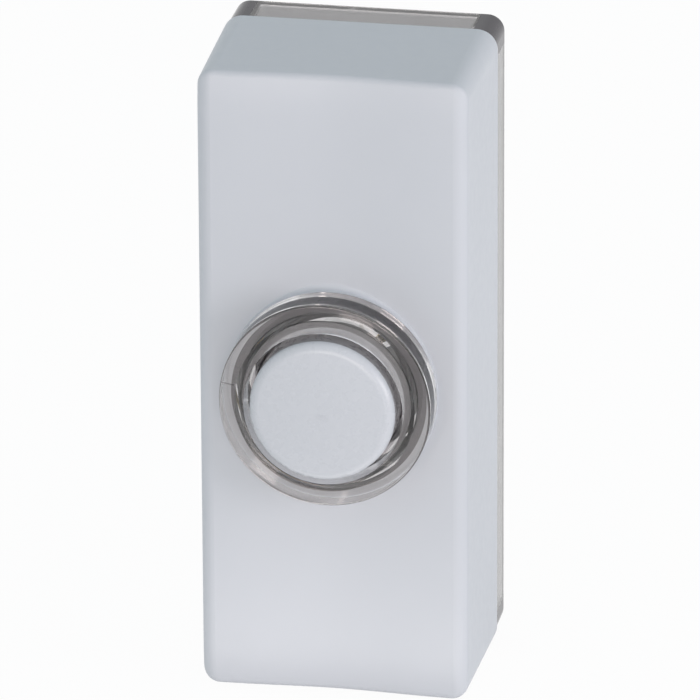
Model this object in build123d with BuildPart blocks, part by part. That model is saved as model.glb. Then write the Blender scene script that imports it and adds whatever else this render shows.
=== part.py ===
from build123d import *
from math import atan, degrees, radians, sin
import os

os.makedirs("parts", exist_ok=True)

# An illuminated bell push that screws to a wall. Millimetres, +Z up.
# The origin is the middle of the back face, +Y points into the wall, and the front faces -Y.
# Depths are measured forward from the wall, so a depth d lies at y = -d.

# Outline and shell
back_width = 31.9
back_height = 76.2
corner_radius = 2.4
base_depth = 5.9
base_inset = 0.25
base_corner_radius = 1.9
cover_depth = 18.1
draft_inset = 0.45
cover_wall = 2.3
front_wall = 2.5
inner_corner_radius = 1.0
scoop_depth = 0.6
side_edge_radius = 1.8
side_edge_turn = 62
crease_radius = 0.8
end_roll_length = 5.0
end_roll_drop = 0.5

# Place of the button on the front, and the collar there that carries the ring
button_x = 0.0
button_z = 0.0
collar_height = 1.1
collar_foot_radius = 0.9
collar_foot_sink = 0.05

# Light ring, from its mouth outwards
ring_mouth_clearance = 0.8
ring_mouth_rise = 1.0
ring_shoulder_width = 1.2
ring_edge_width = 1.8
ring_edge_round = 0.25
ring_flange_thickness = 4.3
ring_seat_gap = 0.1
ring_mouth_length = 3.0
ring_mouth_round = 0.2
ring_tube_wall = 1.5
ring_tube_length = 5.8
ring_tube_clearance = 0.15
barb_height = 0.45
barb_length = 1.2

# Button
button_radius = 8.4
button_clearance = 0.3
button_proud = 1.55
button_edge_radius = 1.2
button_dome_rise = 0.45
button_skirt_wall = 1.2
button_top_wall = 1.6
button_flange_width = 1.0
button_flange_thickness = 1.2
button_seat_gap = 0.1
stem_radius = 2.2
stem_gap = 0.05
stem_tip_round = 0.6

# Base plate
floor_depth = 2.2
rim_wall = 1.0
lip_clearance = 0.2
lip_end_gap = 0.1
lip_corner_gap = 3.5
groove_web = 0.4
corner_block_gap = 0.1
snap_length = 14.0
snap_radius = 0.35
snap_clearance = 0.15
snap_depth = 1.3
pry_notch_width = 7.0
pry_notch_height = 1.0
pry_notch_reach = 1.2
fixing_end_inset = 9.1
fixing_hole_radius = 1.9
fixing_sink_radius = 3.7
fixing_boss_radius = 5.0
fixing_boss_depth = 3.4
cable_hole_radius = 3.0
cable_hole_z = -20.0

# Terminals
terminal_strip_gap = 0.1
terminal_z = -20.0
terminal_boss_radius = 3.2
terminal_boss_depth = 5.4
bush_radius = 1.9
bush_length = 4.0
bush_fit = 0.02
screw_radius = 1.2
screw_bore_clearance = 0.05
screw_hole_clearance = 0.15
screw_length = 5.0
screw_head_radius = 2.4
screw_head_height = 1.8
screw_head_round = 0.4
screw_slot_width = 0.7
screw_slot_depth = 0.8
screw_slot_angle = 35
washer_size = 5.4
washer_thickness = 0.7
washer_corner_radius = 0.6

# Contact strips and leaf
strip_thickness = 0.5
strip_edge_gap = 1.35
strip_width = 1.8
strip_tab_width = 5.2
strip_bend_radius = 0.5
arm_width = 4.4
arm_reach = 2.6
arm_end_radius = 1.0
strip_pin_radius = 0.45
strip_pin_clearance = 0.05
strip_pin_head_radius = 0.75
strip_pin_head_height = 0.4
strip_pin_heights = (-12.0, 8.5)
leaf_thickness = 0.3
leaf_root_radius = 2.6
leaf_tip_radius = 2.4
contact_gap = 1.8
stud_radius = 1.5
stud_dome_round = 0.5
stud_rivet_radius = 0.8
stud_fit = 0.02

# Lamp
lamp_z = 15.0
lamp_depth = 8.6
lamp_glass_radius = 2.6
lamp_glass_wall = 0.4
lamp_cap_wall = 0.3
lamp_cap_fit = 0.02
lamp_cap_overlap = 1.4
lamp_cap_length = 3.4
lamp_cone_length = 3.4
lamp_seat_reach = 2.3
lamp_tip_radius = 0.7
lamp_filament_radius = 0.15
clip_width = 5.4
clip_rise = 3.0
clip_hole_clearance = 0.1

# Sizes that follow from those above
front_depth = base_depth + cover_depth
front_half_width = back_width / 2 - draft_inset
front_half_height = back_height / 2 - draft_inset
draft_angle = degrees(atan(draft_inset / cover_depth))
inner_depth = front_depth - front_wall
scoop_bottom_depth = front_depth - scoop_depth
collar_depth = scoop_bottom_depth + collar_height
ring_mouth_radius = button_radius + ring_mouth_clearance
ring_shoulder_radius = ring_mouth_radius + ring_shoulder_width
ring_radius = ring_shoulder_radius + ring_edge_width
ring_back_depth = collar_depth + ring_seat_gap
ring_flange_depth = ring_back_depth + ring_flange_thickness
ring_mouth_depth = ring_flange_depth + ring_mouth_rise
tube_back_depth = inner_depth - ring_tube_length
guide_radius = button_radius + button_clearance
tube_radius = guide_radius + ring_tube_wall
button_flange_radius = guide_radius + button_flange_width
strip_top_depth = floor_depth + strip_thickness
leaf_back_depth = terminal_boss_depth + strip_thickness
leaf_front_depth = leaf_back_depth + leaf_thickness
stud_top_depth = leaf_back_depth - contact_gap
button_top_depth = ring_mouth_depth + button_proud
button_flange_depth = tube_back_depth - button_seat_gap
stem_tip_depth = leaf_front_depth + stem_gap
pocket_inset = base_inset + rim_wall
lip_inset = pocket_inset + lip_clearance
lip_end_depth = groove_web + lip_end_gap
groove_inner_inset = cover_wall + lip_clearance
corner_block_size = lip_corner_gap - lip_clearance
fixing_spacing = back_height - 2 * fixing_end_inset
strip_outer_x = back_width / 2 - cover_wall - strip_edge_gap
strip_inner_x = strip_outer_x - strip_width
strip_middle_x = strip_inner_x + strip_thickness / 2
terminal_x = strip_inner_x - terminal_strip_gap - terminal_boss_radius
snap_z = back_height / 2 - cover_wall
screw_hole_radius = screw_radius + screw_hole_clearance
lamp_cap_radius = lamp_glass_radius + lamp_cap_wall
lamp_cap_end = strip_inner_x - lamp_seat_reach
lamp_cap_start = lamp_cap_end - lamp_cap_length
lamp_glass_length = 2 * (lamp_cap_start + lamp_cap_overlap)
cone_slope = (lamp_cap_radius - lamp_tip_radius) / lamp_cone_length
clip_hole_radius = lamp_cap_radius - lamp_seat_reach * cone_slope + clip_hole_clearance

button_axis = Axis((button_x, 0, button_z), (0, -1, 0))
button_section = Plane((button_x, 0, button_z), x_dir=(1, 0, 0), z_dir=(0, 0, -1))
lamp_axis = Axis((0, -lamp_depth, lamp_z), (1, 0, 0))
lamp_section = Plane((0, -lamp_depth, lamp_z), x_dir=(1, 0, 0), z_dir=(0, -1, 0))
SIDES = ((-1, "left"), (1, "right"))
ENDS = (-1, 1)
snap_places = [(-snap_depth, end * snap_z) for end in ENDS]


def at_depth(depth):
    """Plane parallel to the wall and seen from the front, with X right and Z up."""
    return Plane.XZ.offset(depth)


def outline(inset, radius, mode=Mode.ADD):
    """The back's rounded rectangle, drawn in from its edge."""
    RectangleRounded(back_width - 2 * inset, back_height - 2 * inset, radius, mode=mode)


def leave_out_corners(size):
    """Take a square out of a sketch at each of the back's corners."""
    with GridLocations(back_width - size, back_height - size, 2, 2):
        Rectangle(size, size, mode=Mode.SUBTRACT)


def keep(piece, name):
    """Name a finished piece and write it out."""
    piece.label = name
    export_step(piece, f"parts/{name}.step")


# Tool that shapes the front of the cover: a shallow scoop across it, rounded long edges,
# and a slight roll back at its top and bottom ends
roll_radius = (end_roll_length**2 + end_roll_drop**2) / (2 * end_roll_drop)
roll_angle = 2 * degrees(atan(end_roll_drop / end_roll_length))
roll_start = front_half_height - end_roll_length
scoop_half_width = front_half_width - side_edge_radius * sin(radians(side_edge_turn))
tool_margin = 4.0
tool_extra_turn = 12

with BuildPart() as front_tool:
    with BuildSketch(Plane.XY.offset(-roll_start)):
        with BuildLine():
            Spline(
                (-scoop_half_width, -front_depth),
                (0, scoop_depth - front_depth),
                (scoop_half_width, -front_depth),
                tangents=((1, 0), (1, 0)),
            )
            corners = []
            for side, _ in SIDES:
                edge = JernArc(
                    (side * scoop_half_width, -front_depth),
                    (side, 0),
                    side_edge_radius,
                    side * (side_edge_turn + tool_extra_turn),
                )
                corners.append(edge @ 1)
            tool_reach = front_half_width + tool_margin
            Polyline(
                corners[0],
                (-tool_reach, corners[0].Y),
                (-tool_reach, -front_depth - tool_margin),
                (tool_reach, -front_depth - tool_margin),
                (tool_reach, corners[1].Y),
                corners[1],
            )
        make_face()
    extrude(amount=2 * roll_start)
    for end in ENDS:
        end_face = front_tool.faces().sort_by(Axis.Z)[0 if end < 0 else -1]
        roll_axis = Axis((0, roll_radius - front_depth, end * roll_start), (-end, 0, 0))
        revolve(end_face, axis=roll_axis, revolution_arc=2 * roll_angle)

# Cover: a drafted shell, open at the back, with a collar on its front and a lip that fits
# inside the base's rim
with BuildPart() as cover:
    with BuildSketch(at_depth(base_depth)):
        outline(0, corner_radius)
    extrude(amount=cover_depth + scoop_depth, taper=draft_angle)
    add(front_tool.part, mode=Mode.SUBTRACT)
    walls = cover.faces().filter_by(lambda face: face.bounding_box().max.Y > -front_depth / 2)
    front_rim = walls.edges().filter_by(lambda edge: edge.bounding_box().max.Y < -front_depth / 2)
    fillet(front_rim, crease_radius)
    # collar with a rounded foot, and the hole through it for the ring's tube
    with BuildSketch(button_section):
        with BuildLine():
            foot = JernArc(
                (ring_radius + collar_foot_radius, scoop_bottom_depth - collar_foot_sink),
                (-1, 0),
                collar_foot_radius,
                -90,
            )
            Polyline(
                foot @ 1,
                (ring_radius, collar_depth),
                (0, collar_depth),
                (0, inner_depth),
                (ring_radius + collar_foot_radius, inner_depth),
                foot @ 0,
            )
        make_face()
    revolve(axis=button_axis)
    with BuildSketch(at_depth(inner_depth)):
        with Locations((button_x, button_z)):
            Circle(tube_radius + ring_tube_clearance)
    extrude(amount=collar_depth - inner_depth, mode=Mode.SUBTRACT)
    with BuildSketch(at_depth(base_depth)):
        outline(cover_wall, inner_corner_radius)
    extrude(amount=inner_depth - base_depth, taper=draft_angle, mode=Mode.SUBTRACT)
    # lip: in line with the wall's inner face, left out at the corners, with a snap bead inside
    # it at the top and bottom
    with BuildSketch(at_depth(lip_end_depth)):
        outline(lip_inset, inner_corner_radius)
        outline(cover_wall, inner_corner_radius, mode=Mode.SUBTRACT)
        leave_out_corners(lip_corner_gap)
    extrude(amount=base_depth - lip_end_depth)
    with BuildSketch(Plane.YZ.offset(-snap_length / 2)):
        with Locations(*snap_places):
            Circle(snap_radius)
    extrude(amount=snap_length)
    # notch for prying the cover off
    with BuildSketch(at_depth(base_depth)):
        with Locations((0, -back_height / 2)):
            Rectangle(pry_notch_width, 2 * pry_notch_reach)
    extrude(amount=pry_notch_height, mode=Mode.SUBTRACT)
keep(cover.part, "cover")

# Base plate: a clear tray with a thin rim and solid corners, and a groove in its floor for the
# cover's lip and its snap beads
with BuildPart() as base_plate:
    with BuildSketch(at_depth(0)):
        outline(base_inset, base_corner_radius)
    extrude(amount=base_depth)
    with BuildSketch(at_depth(base_depth - corner_block_gap)):
        outline(pocket_inset, inner_corner_radius)
    extrude(amount=corner_block_gap, mode=Mode.SUBTRACT)
    with BuildSketch(at_depth(floor_depth)):
        outline(pocket_inset, inner_corner_radius)
        leave_out_corners(corner_block_size)
    extrude(amount=base_depth - floor_depth, mode=Mode.SUBTRACT)
    with BuildSketch(at_depth(groove_web)):
        outline(pocket_inset, inner_corner_radius)
        outline(groove_inner_inset, inner_corner_radius, mode=Mode.SUBTRACT)
        leave_out_corners(corner_block_size)
    extrude(amount=floor_depth - groove_web, mode=Mode.SUBTRACT)
    with BuildSketch(Plane.YZ.offset(-snap_length / 2 - snap_clearance)):
        with Locations(*snap_places):
            Circle(snap_radius + snap_clearance)
    extrude(amount=snap_length + 2 * snap_clearance, mode=Mode.SUBTRACT)
    # bosses for the wall screws and for the terminals
    with BuildSketch(at_depth(floor_depth)):
        with GridLocations(0, fixing_spacing, 1, 2):
            Circle(fixing_boss_radius)
    extrude(amount=fixing_boss_depth - floor_depth)
    with BuildSketch(at_depth(floor_depth)):
        with Locations((0, terminal_z)):
            with GridLocations(2 * terminal_x, 0, 2, 1):
                Circle(terminal_boss_radius)
    extrude(amount=terminal_boss_depth - floor_depth)
    with Locations(at_depth(fixing_boss_depth)):
        with GridLocations(0, fixing_spacing, 1, 2):
            CounterSinkHole(fixing_hole_radius, fixing_sink_radius)
    with BuildSketch(at_depth(terminal_boss_depth)):
        with Locations((0, terminal_z)):
            with GridLocations(2 * terminal_x, 0, 2, 1):
                Circle(bush_radius + bush_fit)
    extrude(amount=-bush_length, mode=Mode.SUBTRACT)
    # way in for the bell wire
    with BuildSketch(at_depth(0)):
        with Locations((0, cable_hole_z)):
            Circle(cable_hole_radius)
    extrude(amount=terminal_boss_depth, mode=Mode.SUBTRACT)
    # pins that hold the contact strips down, with their melted heads
    pin_x = strip_inner_x + strip_width / 2
    pin_places = [(side * pin_x, z) for side, _ in SIDES for z in strip_pin_heights]
    for pin_depth, radius, height in (
        (floor_depth, strip_pin_radius, strip_thickness),
        (strip_top_depth, strip_pin_head_radius, strip_pin_head_height),
    ):
        with BuildSketch(at_depth(pin_depth)):
            with Locations(*pin_places):
                Circle(radius)
        extrude(amount=height)
keep(base_plate.part, "base_plate")

# Light ring: a thick clear flange that rises to a mouth, with a barbed tube that snaps into the
# collar and guides the button
with BuildPart() as light_ring:
    with BuildSketch(button_section):
        with BuildLine():
            Polyline(
                (guide_radius, tube_back_depth),
                (guide_radius, ring_mouth_depth - ring_mouth_length),
                (ring_mouth_radius, ring_mouth_depth - ring_mouth_length),
                (ring_mouth_radius, ring_mouth_depth),
                (ring_shoulder_radius, ring_flange_depth),
                (ring_radius, ring_flange_depth),
                (ring_radius, ring_back_depth),
                (tube_radius, ring_back_depth),
                (tube_radius, inner_depth),
                (tube_radius + barb_height, inner_depth),
                (tube_radius, inner_depth - barb_length),
                (tube_radius, tube_back_depth),
                close=True,
            )
        ring_profile = make_face()
        mouth_corner = ring_profile.vertices().sort_by(Axis.Y)[-1]
        edge_corner = ring_profile.vertices().group_by(Axis.Y)[-2].sort_by(Axis.X)[-1]
        fillet(edge_corner, ring_edge_round)
        fillet(mouth_corner, ring_mouth_round)
    revolve(axis=button_axis)
keep(light_ring.part, "light_ring")

# Button: a domed cap with a skirt, a flange that keeps it in and a stem that works the leaf
with BuildPart() as push_button:
    with BuildSketch(button_section):
        edge_depth = button_top_depth - button_dome_rise
        roof_depth = edge_depth - button_top_wall
        skirt_inner_radius = button_radius - button_skirt_wall
        flange_back = button_flange_depth - button_flange_thickness
        with BuildLine():
            TangentArc((0, button_top_depth), (button_radius, edge_depth), tangent=(1, 0))
            Polyline(
                (button_radius, edge_depth),
                (button_radius, button_flange_depth),
                (button_flange_radius, button_flange_depth),
                (button_flange_radius, flange_back),
                (skirt_inner_radius, flange_back),
                (skirt_inner_radius, roof_depth),
                (stem_radius, roof_depth),
                (stem_radius, stem_tip_depth),
                (0, stem_tip_depth),
                (0, button_top_depth),
            )
        button_profile = make_face()
        rim_corner = button_profile.vertices().sort_by(Axis.Y)[-2]
        tip_corner = button_profile.vertices().group_by(Axis.Y)[0].sort_by(Axis.X)[-1]
        fillet(rim_corner, button_edge_radius)
        fillet(tip_corner, stem_tip_round)
    revolve(axis=button_axis)
keep(push_button.part, "push_button")

# Contact strips: folded metal, each with a terminal tab, a run along the floor and a lamp clip
floor_middle = -(floor_depth + strip_thickness / 2)
tab_middle = -(terminal_boss_depth + strip_thickness / 2)
run_bottom = terminal_z - strip_tab_width / 2
run_top = lamp_z + clip_width / 2

for side, name in SIDES:
    tab_fold = (
        (side * (terminal_x - strip_tab_width / 2), tab_middle),
        (side * strip_middle_x, tab_middle),
        (side * strip_middle_x, floor_middle),
        (side * strip_outer_x, floor_middle),
    )
    clip_fold = (
        (side * strip_outer_x, floor_middle),
        (side * strip_middle_x, floor_middle),
        (side * strip_middle_x, -(lamp_depth + clip_rise)),
    )
    with BuildPart() as strip:
        for fold, middle, width in (
            (tab_fold, terminal_z, strip_tab_width),
            (clip_fold, lamp_z, clip_width),
        ):
            with BuildSketch(Plane.XY.offset(middle - width / 2)):
                with BuildLine():
                    FilletPolyline(*fold, radius=strip_bend_radius)
                trace(line_width=strip_thickness)
            extrude(amount=width)
        with BuildSketch(at_depth(floor_depth)):
            with Locations((side * (strip_inner_x + strip_width / 2), (run_bottom + run_top) / 2)):
                Rectangle(strip_width, run_top - run_bottom)
            if side > 0:
                arm_start = button_x - arm_reach
                with Locations(((arm_start + strip_outer_x) / 2, button_z)):
                    RectangleRounded(strip_outer_x - arm_start, arm_width, arm_end_radius)
                with Locations((button_x, button_z)):
                    Circle(stud_rivet_radius + stud_fit, mode=Mode.SUBTRACT)
            with Locations(*[(side * pin_x, z) for z in strip_pin_heights]):
                Circle(strip_pin_radius + strip_pin_clearance, mode=Mode.SUBTRACT)
        extrude(amount=strip_thickness)
        with BuildSketch(at_depth(terminal_boss_depth)):
            with Locations((side * terminal_x, terminal_z)):
                Circle(screw_hole_radius)
        extrude(amount=strip_thickness, mode=Mode.SUBTRACT)
        with BuildSketch(Plane.YZ.offset(side * strip_middle_x - strip_thickness)):
            with Locations((-lamp_depth, lamp_z)):
                Circle(clip_hole_radius)
        extrude(amount=2 * strip_thickness, mode=Mode.SUBTRACT)
    keep(strip.part, f"{name}_strip")

# Leaf: springy, clamped at the left terminal and reaching under the button's stem
with BuildPart() as contact_leaf:
    with BuildSketch(at_depth(leaf_back_depth)):
        with Locations((-terminal_x, terminal_z)):
            Circle(leaf_root_radius)
        with Locations((button_x, button_z)):
            Circle(leaf_tip_radius)
        make_hull()
        with Locations((-terminal_x, terminal_z)):
            Circle(screw_hole_radius, mode=Mode.SUBTRACT)
    extrude(amount=leaf_thickness)
keep(contact_leaf.part, "contact_leaf")

# Stud on the right strip's arm, riveted through it
with BuildPart() as contact_stud:
    with BuildSketch(button_section):
        with BuildLine():
            Polyline(
                (0, floor_depth),
                (stud_rivet_radius, floor_depth),
                (stud_rivet_radius, strip_top_depth),
                (stud_radius, strip_top_depth),
                (stud_radius, stud_top_depth),
                (0, stud_top_depth),
                close=True,
            )
        stud_profile = make_face()
        fillet(stud_profile.vertices().sort_by(Axis.Y)[-2:].sort_by(Axis.X)[-1], stud_dome_round)
    revolve(axis=button_axis)
keep(contact_stud.part, "contact_stud")

# Terminals: a bush in the base, a square washer and a slotted screw on each side
for side, name in SIDES:
    stack_depth = leaf_front_depth if side < 0 else leaf_back_depth
    head_depth = stack_depth + washer_thickness
    place = (side * terminal_x, terminal_z)
    with BuildPart() as terminal_bush:
        with BuildSketch(at_depth(terminal_boss_depth)):
            with Locations(place):
                Circle(bush_radius)
                Circle(screw_radius + screw_bore_clearance, mode=Mode.SUBTRACT)
        extrude(amount=-bush_length)
    keep(terminal_bush.part, f"terminal_bush_{name}")

    with BuildPart() as terminal_washer:
        with BuildSketch(at_depth(stack_depth)):
            with Locations(place):
                RectangleRounded(washer_size, washer_size, washer_corner_radius)
                Circle(screw_hole_radius, mode=Mode.SUBTRACT)
        extrude(amount=washer_thickness)
    keep(terminal_washer.part, f"terminal_washer_{name}")

    with BuildPart() as terminal_screw:
        with BuildSketch(at_depth(head_depth)):
            with Locations(place):
                Circle(screw_head_radius)
        extrude(amount=screw_head_height)
        fillet(terminal_screw.faces().sort_by(Axis.Y)[0].edges(), screw_head_round)
        with BuildSketch(at_depth(head_depth)):
            with Locations(place):
                Circle(screw_radius)
        extrude(amount=-screw_length)
        with BuildSketch(at_depth(head_depth + screw_head_height)):
            with Locations(place):
                Rectangle(2 * screw_head_radius, screw_slot_width, rotation=side * screw_slot_angle)
        extrude(amount=-screw_slot_depth, mode=Mode.SUBTRACT)
    keep(terminal_screw.part, f"terminal_screw_{name}")

# Lamp: a glass tube between two metal caps whose cones sit in the clips
with BuildPart() as lamp_glass:
    with BuildSketch(Plane.YZ.offset(-lamp_glass_length / 2)):
        with Locations((-lamp_depth, lamp_z)):
            Circle(lamp_glass_radius)
            Circle(lamp_glass_radius - lamp_glass_wall, mode=Mode.SUBTRACT)
    extrude(amount=lamp_glass_length)
keep(lamp_glass.part, "lamp_glass")

for side, name in SIDES:
    with BuildPart() as lamp_cap:
        with BuildSketch(lamp_section):
            with BuildLine():
                Polyline(
                    (side * lamp_glass_length / 2, 0),
                    (side * lamp_glass_length / 2, lamp_glass_radius + lamp_cap_fit),
                    (side * lamp_cap_start, lamp_glass_radius + lamp_cap_fit),
                    (side * lamp_cap_start, lamp_cap_radius),
                    (side * lamp_cap_end, lamp_cap_radius),
                    (side * (lamp_cap_end + lamp_cone_length), lamp_tip_radius),
                    (side * (lamp_cap_end + lamp_cone_length), 0),
                    close=True,
                )
            make_face()
        revolve(axis=lamp_axis)
    keep(lamp_cap.part, f"lamp_cap_{name}")

with BuildPart() as lamp_filament:
    with BuildSketch(Plane.YZ.offset(-lamp_glass_length / 2)):
        with Locations((-lamp_depth, lamp_z)):
            Circle(lamp_filament_radius)
    extrude(amount=lamp_glass_length)
keep(lamp_filament.part, "lamp_filament")
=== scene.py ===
import math

import bmesh
import bpy
from mathutils import Matrix, Vector


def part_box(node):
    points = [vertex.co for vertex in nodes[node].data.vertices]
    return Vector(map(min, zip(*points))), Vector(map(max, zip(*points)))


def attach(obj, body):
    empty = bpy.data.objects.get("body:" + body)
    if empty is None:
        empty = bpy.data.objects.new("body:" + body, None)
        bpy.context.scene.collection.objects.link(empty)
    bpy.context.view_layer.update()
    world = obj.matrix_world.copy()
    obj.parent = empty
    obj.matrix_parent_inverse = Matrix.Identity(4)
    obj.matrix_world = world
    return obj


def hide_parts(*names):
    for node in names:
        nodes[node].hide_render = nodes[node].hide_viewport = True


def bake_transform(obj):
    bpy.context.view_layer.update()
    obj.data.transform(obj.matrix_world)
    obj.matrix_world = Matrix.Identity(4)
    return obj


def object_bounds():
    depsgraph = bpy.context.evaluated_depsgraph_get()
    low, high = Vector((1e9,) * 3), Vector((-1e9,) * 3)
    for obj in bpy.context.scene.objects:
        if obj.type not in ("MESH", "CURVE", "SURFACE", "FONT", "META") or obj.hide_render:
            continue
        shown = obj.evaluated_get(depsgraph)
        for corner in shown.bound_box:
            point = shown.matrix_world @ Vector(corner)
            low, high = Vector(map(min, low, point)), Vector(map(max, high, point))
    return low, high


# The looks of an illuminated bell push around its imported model. Lengths are metres.
MM = 0.001

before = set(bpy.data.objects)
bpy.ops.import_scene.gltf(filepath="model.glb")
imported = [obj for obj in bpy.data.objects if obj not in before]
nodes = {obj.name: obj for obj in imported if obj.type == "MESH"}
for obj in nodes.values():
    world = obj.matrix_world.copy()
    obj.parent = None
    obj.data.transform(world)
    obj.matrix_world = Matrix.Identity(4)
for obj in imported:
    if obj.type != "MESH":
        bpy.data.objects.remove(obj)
cad_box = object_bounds()
part_front = cad_box[0][1]
part_foot = cad_box[0][2]

# Camera, as fitted to the photograph
VIEW_AZIMUTH = math.radians(10.603)
VIEW_ELEVATION = math.radians(21.461)
VIEW_ROLL = math.radians(-0.237)
VIEW_DISTANCE = 1.054
FOCAL_PIXELS = 9070.2
PICTURE_PIXELS = 700
AXIS_PIXEL = (370.8, 314.46)
SENSOR_WIDTH = 36
NEAR_CLIP = 0.05
FAR_CLIP = 20

# The room's light, and the white paper that the camera sees under and behind the part
ROOM_COLOUR = (0.815, 0.937, 1.0)
ROOM_STRENGTH = 0.54
WHITE = (1, 1, 1, 1)
PAPER_SHARE = 0.96
FLOOR_GAP = 0.3 * MM
FLOOR_HALF_SIZE = 3.0
FLOOR_DARK = (0.9, 0.9, 0.9)
FLOOR_LIGHT = (0.92, 0.92, 0.92)
FLOOR_CLOUD_SCALE = 8
FLOOR_ROUGHNESS = 0.8

# Soft lamps: place, aim, width and height, colour and power. The card lies just in front of the part's foot.
CARD_AHEAD = 6.85 * MM
CARD_LIFT = 0.2 * MM
card_y = part_front - CARD_AHEAD
LAMPS = {
    "side": ((0.8, -0.35, 0.1), (0, 0, 0), (0.5, 0.5), (1.0, 0.93, 0.96), 3.2),
    "front": ((0.05, -1.0, 0.1), (0, 0, 0), (0.7, 0.5), (1.0, 0.89, 0.853), 3.75),
    "low_card": (
        (0, card_y, part_foot + CARD_LIFT),
        (0, card_y, 1),
        (0.05, 0.0155),
        (1.0, 0.945, 0.91),
        0.0019,
    ),
}

# Moulded plastic: lumps to the metre of its clouding, sheen and grain, and its few darker specks
CLOUD_SCALE = 45
SHEEN_SCALE = 900
GRAIN_SCALE = 3200
GRAIN_DEPTH = 0.02 * MM
SPECK_SCALE = 75
SPECK_EDGE = (0.012, 0.022)
SPECK_CHOICE = 0.7
SPECK_SHADE = 0.62
MOULDED_IOR = 1.5

# Clear plastic and glass: lumps to the metre of the tint, haze and flow lines, which run up the part
TINT_SCALE = 120
HAZE_SCALE = 700
FLOW_SCALE = 260
FLOW_STRETCH = (1, 1, 0.35)
FLOW_DEPTH = 0.05 * MM
CLEAR_IOR = 1.57

# Metal: lumps to the metre of its tone and of its working marks, which are drawn out along an axis or even
TONE_SCALE = 400
MARK_SCALE = 2500
MARK_DEPTH = 0.02 * MM
ALONG_X = (0.08, 1, 1)
ALONG_Y = (1, 0.08, 1)
ALONG_Z = (1, 1, 0.08)
EVEN = (1, 1, 1)

# Finishes: dark and light colour, least and most roughness, strength of the relief, and for metal its marks
MOULDED_FINISHES = {
    "white_shell": ((0.615, 0.628, 0.662), (0.63, 0.643, 0.677), (0.33, 0.43), 0.12),
    "white_button": ((0.615, 0.628, 0.66), (0.63, 0.643, 0.675), (0.24, 0.32), 0.08),
}
CLEAR_FINISHES = {
    "clear_base": ((0.52, 0.51, 0.515), (0.56, 0.55, 0.555), (0.04, 0.1), 0.15),
    "clear_ring": ((0.97, 0.965, 0.965), (0.99, 0.985, 0.985), (0.0, 0.03), 0.06),
    "lamp_glass": ((0.95, 0.96, 0.96), (0.97, 0.98, 0.98), (0.0, 0.01), 0.04),
}
METAL_FINISHES = {
    "bronze": ((0.62, 0.37, 0.18), (0.72, 0.47, 0.26), (0.22, 0.38), 0.25, ALONG_Z),
    "brass_strip": ((0.72, 0.53, 0.24), (0.82, 0.65, 0.34), (0.2, 0.36), 0.25, ALONG_Z),
    "brass_turned": ((0.7, 0.52, 0.23), (0.8, 0.62, 0.3), (0.18, 0.3), 0.2, ALONG_Y),
    "silver_contact": ((0.76, 0.75, 0.72), (0.84, 0.83, 0.8), (0.15, 0.28), 0.15, EVEN),
    "plated_steel": ((0.6, 0.61, 0.62), (0.72, 0.73, 0.73), (0.2, 0.34), 0.2, EVEN),
    "nickel_cap": ((0.66, 0.64, 0.6), (0.76, 0.74, 0.7), (0.14, 0.26), 0.2, ALONG_X),
    "tungsten": ((0.2, 0.2, 0.21), (0.3, 0.3, 0.31), (0.3, 0.45), 0.2, ALONG_X),
}

# Directions in the part's frame
ACROSS = (1, 0, 0)
INWARD = (0, 1, 0)
UPWARD = (0, 0, 1)

# Ring: painted shade on the wall of its bore, where little light reaches, and the mark on its front where the
# mould was filled
BORE_SHADE_RADIUS = 8.95 * MM
BORE_SHADE_COLOUR = (0.45, 0.42, 0.45)
GATE_ANGLE = math.radians(169.8)
GATE_START = 10.5 * MM
GATE_HALF_WIDTH = 0.08 * MM
GATE_BACK = -28.5 * MM
GATE_COLOUR = (0.25, 0.24, 0.25)

# Shell: painted shade on the seat under the ring, where little light reaches
SEAT_SHADE_RADIUS = 11.3 * MM
SEAT_SHADE_COLOUR = (0.16, 0.15, 0.16)

# Button: painted shade on its skirt inside the ring, where little light reaches, and the middle of its dome
SKIRT_SHADE_FRONT = -30.1 * MM
SKIRT_SHADE_COLOUR = (0.28, 0.27, 0.28)
DOME_MIDDLE_RADIUS = 1.5 * MM

# Base: where its solid corners begin, the painted shade on them that stands for the dark inside seen through
# them, and the shine and clearness of its rim and of the corners, lowered in the corners so that the painted
# shade shows
CORNER_X = 13.0 * MM
CORNER_Z = 34.5 * MM
CORNER_SHADE_COLOUR = (0.08, 0.07, 0.08)
SHINE = (0.5, 0.1)
CLEARNESS = (1.0, 0.2)

# Pieces that are shaped further: the air round the metal in the base, the runs that the leaf is cut into and
# the lamp's coil
AIR_GAP = 0.02 * MM
METAL_IN_BASE = ("left_strip", "right_strip", "terminal_bush_left", "terminal_bush_right")
LEAF_RUNS = 16
LEAF_STUD_SHARE = 0.903
LEAF_SHARP_ANGLE = math.radians(40)
WELD_DISTANCE = 0.001 * MM
COIL_TURNS = 90
COIL_STEPS = 14
WIRE_RADIUS = 0.03 * MM
WIRE_SIDES = 6

# Node helpers. The owner of the nodes is a material or the world.


def feed(owner, node, inputs):
    """Set a node's inputs; each is a value, or another node's output to link."""
    for key, value in inputs.items():
        if isinstance(value, bpy.types.NodeSocket):
            owner.node_tree.links.new(value, node.inputs[key])
        else:
            node.inputs[key].default_value = value


def add_node(owner, kind, inputs=None, **settings):
    """A new node with its settings and inputs."""
    node = owner.node_tree.nodes.new(kind)
    for key, value in settings.items():
        setattr(node, key, value)
    feed(owner, node, inputs or {})
    return node


def find_node(owner, kind):
    """The owner's only node of a kind."""
    return next(node for node in owner.node_tree.nodes if node.type == kind)


def calculate(owner, operation, *values):
    """The result of an operation on one or two values."""
    return add_node(owner, "ShaderNodeMath", dict(enumerate(values)), operation=operation).outputs[0]


def new_material(name):
    """A material with a bare Principled shader; returns the material and the shader."""
    material = bpy.data.materials.new(name)
    material.use_nodes = True
    material.node_tree.nodes.clear()
    surface = add_node(material, "ShaderNodeBsdfPrincipled")
    add_node(material, "ShaderNodeOutputMaterial", {"Surface": surface.outputs[0]})
    return material, surface


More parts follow.
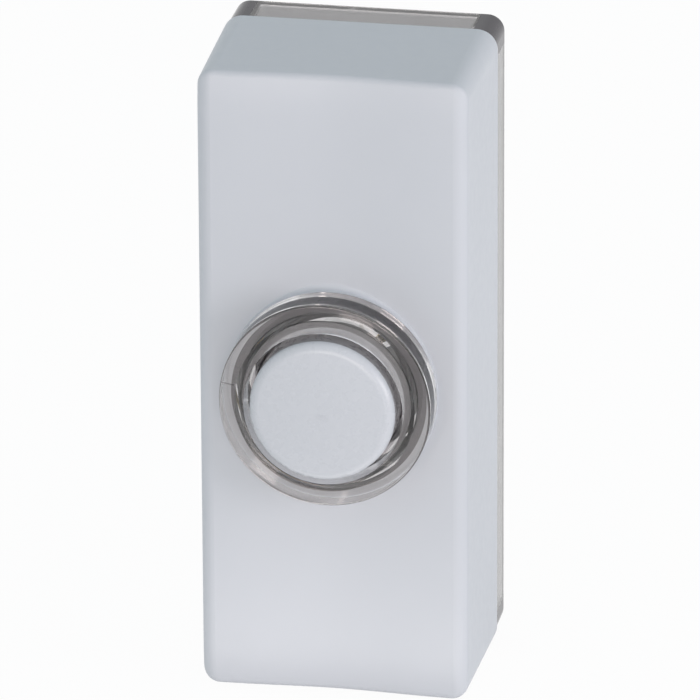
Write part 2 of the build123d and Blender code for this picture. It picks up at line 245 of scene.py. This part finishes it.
def object_coords(material, stretch=EVEN):
    """The object's own coordinates, squeezed along its axes."""
    coords = add_node(material, "ShaderNodeTexCoord")
    inputs = {"Vector": coords.outputs["Object"], "Scale": stretch}
    return add_node(material, "ShaderNodeMapping", inputs).outputs["Vector"]


def noise(material, scale, detail=3.0, stretch=EVEN):
    """Soft noise with about `scale` lumps to the metre."""
    inputs = {"Vector": object_coords(material, stretch), "Scale": scale, "Detail": detail}
    return add_node(material, "ShaderNodeTexNoise", inputs).outputs["Fac"]


def spread(material, value, low, high, start=0.3, end=0.7):
    """Map a value from the range start to end to the range low to high."""
    inputs = {"Value": value, "From Min": start, "From Max": end, "To Min": low, "To Max": high}
    return add_node(material, "ShaderNodeMapRange", inputs).outputs["Result"]


def shades(material, value, dark, light, start=0.3, end=0.7):
    """Colours from dark to light along a noise value."""
    ramp = add_node(material, "ShaderNodeValToRGB", {"Fac": value})
    first, last = ramp.color_ramp.elements
    first.position, first.color = start, (*dark, 1)
    last.position, last.color = end, (*light, 1)
    return ramp.outputs["Color"]


def mix(material, share, first, second):
    """The first colour or normal where the share is 0, and the second where it is 1."""
    inputs = {"Fac": share, "Color1": first, "Color2": second}
    return add_node(material, "ShaderNodeMixRGB", inputs).outputs["Color"]


def bump(material, height, strength, depth):
    """Normal from a height value; depth is how deep the relief would be at full strength."""
    inputs = {"Height": height, "Strength": strength, "Distance": depth}
    return add_node(material, "ShaderNodeBump", inputs).outputs["Normal"]


# Materials


def specks(material):
    """1 in a few small round specks, far apart, else 0."""
    inputs = {"Vector": object_coords(material), "Scale": SPECK_SCALE}
    cells = add_node(material, "ShaderNodeTexVoronoi", inputs)
    near = spread(material, cells.outputs["Distance"], 1.0, 0.0, *SPECK_EDGE)
    lot = add_node(material, "ShaderNodeSeparateColor", {"Color": cells.outputs["Color"]})
    chosen = calculate(material, "GREATER_THAN", lot.outputs["Red"], SPECK_CHOICE)
    return calculate(material, "MULTIPLY", near, chosen)


def moulded_plastic(name, dark, light, rough, grain_strength):
    """Opaque moulded plastic: faint clouding, a satin sheen that varies, fine grain and a few specks."""
    material, surface = new_material(name)
    body = shades(material, noise(material, CLOUD_SCALE), dark, light)
    speck_colour = (*(SPECK_SHADE * channel for channel in dark), 1)
    grain = noise(material, GRAIN_SCALE, detail=2)
    inputs = {
        "Base Color": mix(material, specks(material), body, speck_colour),
        "Roughness": spread(material, noise(material, SHEEN_SCALE), *rough),
        "Normal": bump(material, grain, grain_strength, GRAIN_DEPTH),
        "IOR": MOULDED_IOR,
    }
    feed(material, surface, inputs)
    return material


def clear_plastic(name, dark, light, rough, flow_strength):
    """Clear moulded plastic or glass with faint flow lines and a little haze."""
    material, surface = new_material(name)
    flow = noise(material, FLOW_SCALE, detail=2, stretch=FLOW_STRETCH)
    inputs = {
        "Base Color": shades(material, noise(material, TINT_SCALE), dark, light),
        "Roughness": spread(material, noise(material, HAZE_SCALE), *rough),
        "Normal": bump(material, flow, flow_strength, FLOW_DEPTH),
        "Transmission Weight": 1.0,
        "IOR": CLEAR_IOR,
    }
    feed(material, surface, inputs)
    return material


def metal(name, dark, light, rough, mark_strength, stretch):
    """Worked metal: tone and sheen vary, with fine marks drawn out along the way it was worked."""
    material, surface = new_material(name)
    marks = noise(material, MARK_SCALE, detail=4, stretch=stretch)
    inputs = {
        "Base Color": shades(material, noise(material, TONE_SCALE), dark, light),
        "Roughness": spread(material, marks, *rough),
        "Normal": bump(material, marks, mark_strength, MARK_DEPTH),
        "Metallic": 1.0,
    }
    feed(material, surface, inputs)
    return material


looks = {}
for maker, finishes in (
    (moulded_plastic, MOULDED_FINISHES),
    (clear_plastic, CLEAR_FINISHES),
    (metal, METAL_FINISHES),
):
    for name, finish in finishes.items():
        looks[name] = maker(name, *finish)

# Local shades: painted shade in the ring's bore, on the shell's seat, on the button's skirt and in the base's
# corners, and the ring's gate mark


def distance_along(material, direction):
    """How far a point lies from the origin along a direction."""
    coords = add_node(material, "ShaderNodeTexCoord").outputs["Object"]
    inputs = {0: coords, 1: direction}
    return add_node(material, "ShaderNodeVectorMath", inputs, operation="DOT_PRODUCT").outputs["Value"]


def inside_radius(material, radius):
    """1 where a point lies nearer to the button's axis than the radius, else 0."""
    coords = add_node(material, "ShaderNodeTexCoord").outputs["Object"]
    inputs = {0: coords, 1: (1, 0, 1)}
    flat = add_node(material, "ShaderNodeVectorMath", inputs, operation="MULTIPLY").outputs["Vector"]
    length = add_node(material, "ShaderNodeVectorMath", {0: flat}, operation="LENGTH").outputs["Value"]
    return calculate(material, "LESS_THAN", length, radius)


def beyond(material, direction, start):
    """1 where a point lies further along a direction than the start, else 0."""
    return calculate(material, "GREATER_THAN", distance_along(material, direction), start)


def outside(material, direction, start):
    """1 where a point lies further from the middle than the start, either way along a direction, else 0."""
    distance = calculate(material, "ABSOLUTE", distance_along(material, direction))
    return calculate(material, "GREATER_THAN", distance, start)


def tint(material, share, colour):
    """Change the material's colour where the share is 1."""
    surface = find_node(material, "BSDF_PRINCIPLED")
    body = surface.inputs["Base Color"].links[0].from_socket
    feed(material, surface, {"Base Color": mix(material, share, body, (*colour, 1))})


def shade_ring(material):
    """Painted shade in the bore, where little light reaches, and the gate mark as a thin line that runs
    outward over the flange's front.
    """
    # painted shade: the bore is darkened where little light would reach it
    tint(material, inside_radius(material, BORE_SHADE_RADIUS), BORE_SHADE_COLOUR)
    outward = (math.cos(GATE_ANGLE), 0, math.sin(GATE_ANGLE))
    sideways = (-math.sin(GATE_ANGLE), 0, math.cos(GATE_ANGLE))
    offset = calculate(material, "ABSOLUTE", distance_along(material, sideways))
    line = calculate(material, "LESS_THAN", offset, GATE_HALF_WIDTH)
    front = calculate(material, "LESS_THAN", distance_along(material, INWARD), GATE_BACK)
    mark = calculate(material, "MULTIPLY", beyond(material, outward, GATE_START), line)
    tint(material, calculate(material, "MULTIPLY", mark, front), GATE_COLOUR)


def shade_button(material):
    """Painted shade on the skirt inside the ring, and true face normals mid dome, where the mesh's smooth
    ones are off.
    """
    # painted shade: the skirt behind the cap's front is darkened
    tint(material, beyond(material, INWARD, SKIRT_SHADE_FRONT), SKIRT_SHADE_COLOUR)
    surface = find_node(material, "BSDF_PRINCIPLED")
    smooth = surface.inputs["Normal"].links[0].from_socket
    faces = add_node(material, "ShaderNodeNewGeometry").outputs["True Normal"]
    middle_share = inside_radius(material, DOME_MIDDLE_RADIUS)
    feed(material, surface, {"Normal": mix(material, middle_share, smooth, faces)})


def shade_base(material):
    """Painted shade on the solid corners, which are darker, duller and less clear than the rim, standing for
    the dark inside seen through them.
    """
    across = outside(material, ACROSS, CORNER_X)
    upright = outside(material, UPWARD, CORNER_Z)
    corner = calculate(material, "MULTIPLY", across, upright)
    # painted shade: the corners are darkened, dulled and made less clear
    tint(material, corner, CORNER_SHADE_COLOUR)
    inputs = {
        "Specular IOR Level": spread(material, corner, *SHINE, 0, 1),
        "Transmission Weight": spread(material, corner, *CLEARNESS, 0, 1),
    }
    feed(material, find_node(material, "BSDF_PRINCIPLED"), inputs)


shade_ring(looks["clear_ring"])
shade_button(looks["white_button"])
shade_base(looks["clear_base"])
# painted shade on the shell's seat under the ring, seen through the clear ring
tint(looks["white_shell"], inside_radius(looks["white_shell"], SEAT_SHADE_RADIUS), SEAT_SHADE_COLOUR)

for node in nodes.values():
    slot_name = node.data.materials[0].name.split(".")[0]
    node.data.materials[0] = looks[slot_name]

# Pieces that are shaped further. Without a hair of air the metal in the clear base would show black.
for name in METAL_IN_BASE:
    shrink = nodes[name].modifiers.new("hair_of_air", "DISPLACE")
    shrink.mid_level = 0
    shrink.strength = -AIR_GAP


def link_piece(name, mesh, look):
    """Put a new mesh in the scene with one of the looks."""
    mesh.materials.clear()
    mesh.materials.append(looks[look])
    piece = bpy.data.objects.new(name, mesh)
    bpy.context.scene.collection.objects.link(piece)
    return piece


def middle(node):
    """The middle of a node's box."""
    low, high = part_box(node)
    return (low + high) / 2


def bending_leaf():
    """The contact leaf cut into short runs along the span from its clamp down to the stud."""
    root = middle("terminal_screw_left")
    tip = middle("contact_stud")
    along = Vector((tip.x - root.x, 0, tip.z - root.z))
    direction = along.normalized()
    washer_low, washer_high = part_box("terminal_washer_left")
    start = root + direction * (washer_high.x - washer_low.x) / 2
    end = start + (root + along - start) / LEAF_STUD_SHARE
    shape = bmesh.new()
    shape.from_mesh(nodes["contact_leaf"].data)
    bmesh.ops.remove_doubles(shape, verts=shape.verts, dist=WELD_DISTANCE)
    for i in range(LEAF_RUNS + 1):
        place = start + (end - start) * i / LEAF_RUNS
        everything = shape.verts[:] + shape.edges[:] + shape.faces[:]
        bmesh.ops.bisect_plane(shape, geom=everything, plane_co=place, plane_no=direction, dist=WELD_DISTANCE)
    mesh = bpy.data.meshes.new("bending_leaf")
    shape.to_mesh(mesh)
    shape.free()
    mesh.shade_smooth()
    mesh.set_sharp_from_angle(angle=LEAF_SHARP_ANGLE)
    leaf = link_piece("bending_leaf", mesh, "bronze")
    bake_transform(leaf)
    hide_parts("contact_leaf")


def coiled_filament():
    """The lamp's filament wound as a fine coil, no thicker than the plain one that it stands for."""
    low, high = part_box("lamp_filament")
    centre = (low + high) / 2
    coil_radius = (high.z - low.z) / 2 - WIRE_RADIUS
    length = high.x - low.x
    steps = COIL_TURNS * COIL_STEPS
    points = []
    for i in range(steps + 1):
        angle = 2 * math.pi * i / COIL_STEPS
        outward = Vector((0, math.cos(angle), math.sin(angle)))
        place = centre + Vector((length * (i / steps - 0.5), 0, 0)) + coil_radius * outward
        for k in range(WIRE_SIDES):
            side = 2 * math.pi * k / WIRE_SIDES
            points.append(place + WIRE_RADIUS * (math.cos(side) * outward + math.sin(side) * Vector(ACROSS)))
    faces = []
    for i in range(steps):
        for k in range(WIRE_SIDES):
            a = i * WIRE_SIDES + k
            b = i * WIRE_SIDES + (k + 1) % WIRE_SIDES
            faces.append((a, b, b + WIRE_SIDES, a + WIRE_SIDES))
    first_end = range(WIRE_SIDES)
    last_end = range(len(points) - 1, len(points) - WIRE_SIDES - 1, -1)
    faces.extend((tuple(first_end), tuple(last_end)))
    mesh = bpy.data.meshes.new("coiled_filament")
    mesh.from_pydata(points, [], faces)
    mesh.shade_smooth()
    coil = link_piece("coiled_filament", mesh, "tungsten")
    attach(coil, "root")
    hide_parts("lamp_filament")


bending_leaf()
coiled_filament()

# Floor, world and lamps


def seen_as_backdrop(owner):
    """1 for rays from the camera and for those that metal and clear plastic pass on, so all show white."""
    path = add_node(owner, "ShaderNodeLightPath").outputs
    passed_on = calculate(owner, "MAXIMUM", path["Is Glossy Ray"], path["Is Transmission Ray"])
    return calculate(owner, "MAXIMUM", path["Is Camera Ray"], passed_on)


def stage_floor():
    """A wide pale floor under the part that shows white to the camera and still takes its shadow."""
    half = FLOOR_HALF_SIZE
    low = part_foot - FLOOR_GAP
    mesh = bpy.data.meshes.new("floor")
    corners = [(-half, -half, low), (half, -half, low), (half, half, low), (-half, half, low)]
    mesh.from_pydata(corners, [], [(0, 1, 2, 3)])
    floor = bpy.data.objects.new("floor", mesh)
    bpy.context.scene.collection.objects.link(floor)
    material, surface = new_material("floor")
    colour = shades(material, noise(material, FLOOR_CLOUD_SCALE), FLOOR_DARK, FLOOR_LIGHT)
    feed(material, surface, {"Base Color": colour, "Roughness": FLOOR_ROUGHNESS})
    paper = add_node(material, "ShaderNodeEmission", {"Color": WHITE, "Strength": 1.0})
    share = calculate(material, "MULTIPLY", seen_as_backdrop(material), PAPER_SHARE)
    inputs = {"Fac": share, 1: surface.outputs[0], 2: paper.outputs[0]}
    both = add_node(material, "ShaderNodeMixShader", inputs)
    feed(material, find_node(material, "OUTPUT_MATERIAL"), {"Surface": both.outputs[0]})
    mesh.materials.append(material)


def light_world():
    """Even studio light all round, and a white backdrop where the camera looks past the floor."""
    world = bpy.data.worlds.new("studio")
    bpy.context.scene.world = world
    world.use_nodes = True
    world.node_tree.nodes.clear()
    room = add_node(world, "ShaderNodeBackground", {"Color": (*ROOM_COLOUR, 1), "Strength": ROOM_STRENGTH})
    backdrop = add_node(world, "ShaderNodeBackground", {"Color": WHITE, "Strength": 1.0})
    inputs = {"Fac": seen_as_backdrop(world), 1: room.outputs[0], 2: backdrop.outputs[0]}
    both = add_node(world, "ShaderNodeMixShader", inputs)
    add_node(world, "ShaderNodeOutputWorld", {"Surface": both.outputs[0]})


def softbox(name, place, aim, size, colour, power):
    """A soft lamp at a place, turned to the aim."""
    data = bpy.data.lights.new(name, "AREA")
    data.shape = "RECTANGLE"
    data.size, data.size_y = size
    data.color = colour
    data.energy = power
    lamp = bpy.data.objects.new(name, data)
    bpy.context.scene.collection.objects.link(lamp)
    lamp.location = place
    lamp.rotation_euler = (Vector(aim) - Vector(place)).to_track_quat("-Z", "Y").to_euler()
    return lamp


def keep_off(lamp, node):
    """Keep a lamp off one piece, so that the lamp's square edges don't show in it."""
    shaded = bpy.data.collections.new("kept_off_" + lamp.name)
    shaded.objects.link(node)
    shaded.collection_objects[0].light_linking.link_state = "EXCLUDE"
    lamp.light_linking.receiver_collection = shaded


stage_floor()
light_world()
lamps = {}
for name, settings in LAMPS.items():
    lamps[name] = softbox(name, *settings)
keep_off(lamps["side"], nodes["light_ring"])

# Camera


def place_camera():
    """The camera looks along the fitted view, shifted so that the part's origin falls on its own pixel."""
    level = math.cos(VIEW_ELEVATION)
    back = Vector((math.sin(VIEW_AZIMUTH) * level, -math.cos(VIEW_AZIMUTH) * level, math.sin(VIEW_ELEVATION)))
    right = (-back).cross(Vector(UPWARD)).normalized()
    up = right.cross(-back)
    rolled_right = math.cos(VIEW_ROLL) * right + math.sin(VIEW_ROLL) * up
    rolled_up = math.cos(VIEW_ROLL) * up - math.sin(VIEW_ROLL) * right
    aim_right = (PICTURE_PIXELS / 2 - AXIS_PIXEL[0]) / FOCAL_PIXELS
    aim_up = (AXIS_PIXEL[1] - PICTURE_PIXELS / 2) / FOCAL_PIXELS
    camera_back = -(-back + aim_right * rolled_right + aim_up * rolled_up).normalized()
    camera_right = rolled_up.cross(camera_back).normalized()
    camera_up = camera_back.cross(camera_right)
    data = bpy.data.cameras.new("camera")
    data.sensor_width = SENSOR_WIDTH
    data.lens = FOCAL_PIXELS / PICTURE_PIXELS * SENSOR_WIDTH
    data.clip_start = NEAR_CLIP
    data.clip_end = FAR_CLIP
    camera = bpy.data.objects.new("camera", data)
    bpy.context.scene.collection.objects.link(camera)
    turn = Matrix((camera_right, camera_up, camera_back)).transposed()
    camera.matrix_world = Matrix.Translation(back * VIEW_DISTANCE) @ turn.to_4x4()
    bpy.context.scene.camera = camera


place_camera()
bpy.context.scene.view_settings.view_transform = "Standard"
